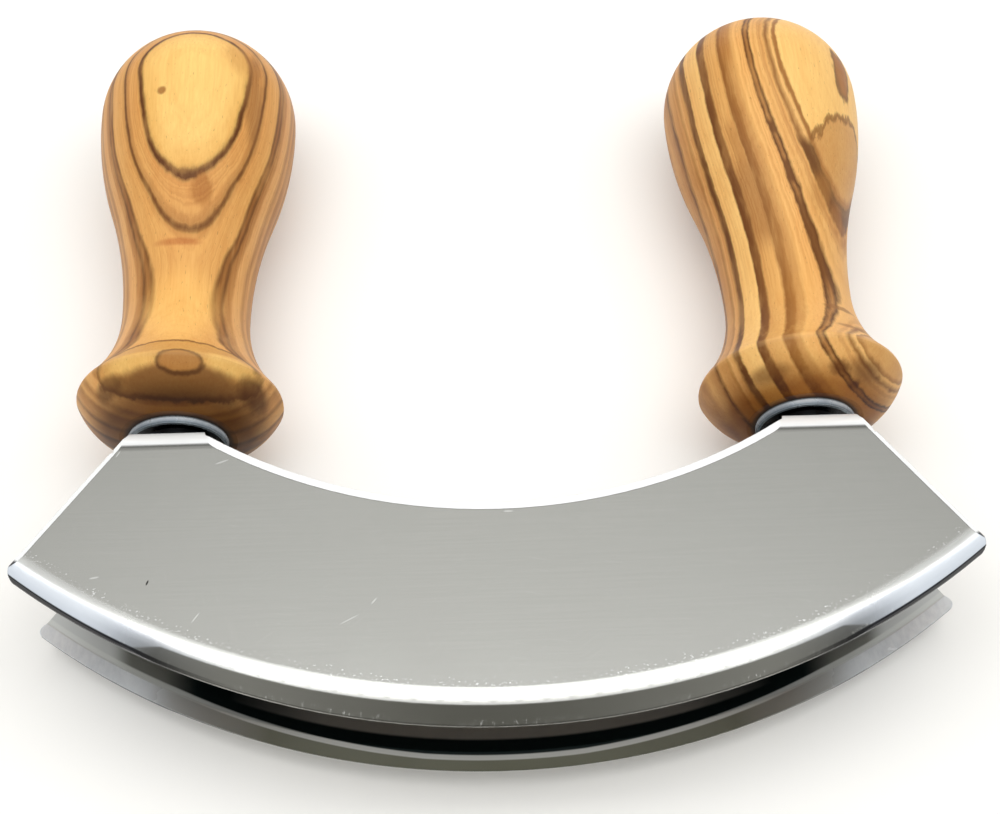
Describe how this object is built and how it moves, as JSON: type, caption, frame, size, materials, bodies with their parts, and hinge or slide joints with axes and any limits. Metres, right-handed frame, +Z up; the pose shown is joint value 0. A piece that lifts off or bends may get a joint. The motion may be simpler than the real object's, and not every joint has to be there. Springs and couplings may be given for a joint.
{
  "type": "mezzaluna",
  "caption": "Rocking chopping knife: parallel curved blades folded from a steel sheet, with upright turned wooden handles screwed onto its straps.",
  "frame": {"origin": "on the table, under the middle of the whole part's box, with the part lying on its handles", "axes": "+X along the blades, +Y from the cutting edges towards the handles, +Z up from the table"},
  "size_m": [0.1784, 0.167, 0.0424],
  "materials": {
    "blade_steel": "polished stainless sheet with fine scratches and ground cutting bevels",
    "olive_wood": "turned and oiled olive wood, satin",
    "zinc_plate": "bright zinc plate",
    "screw_steel": "plain steel"
  },
  "bodies": {
    "mezzaluna": {"blade_sheet": "blade_steel", "handle_left": "olive_wood", "handle_right": "olive_wood", "cup_washer_left": "zinc_plate", "cup_washer_right": "zinc_plate", "screw_left": "screw_steel", "screw_right": "screw_steel", "washer_left": "zinc_plate", "washer_right": "zinc_plate"}
  },
  "joints": []
}
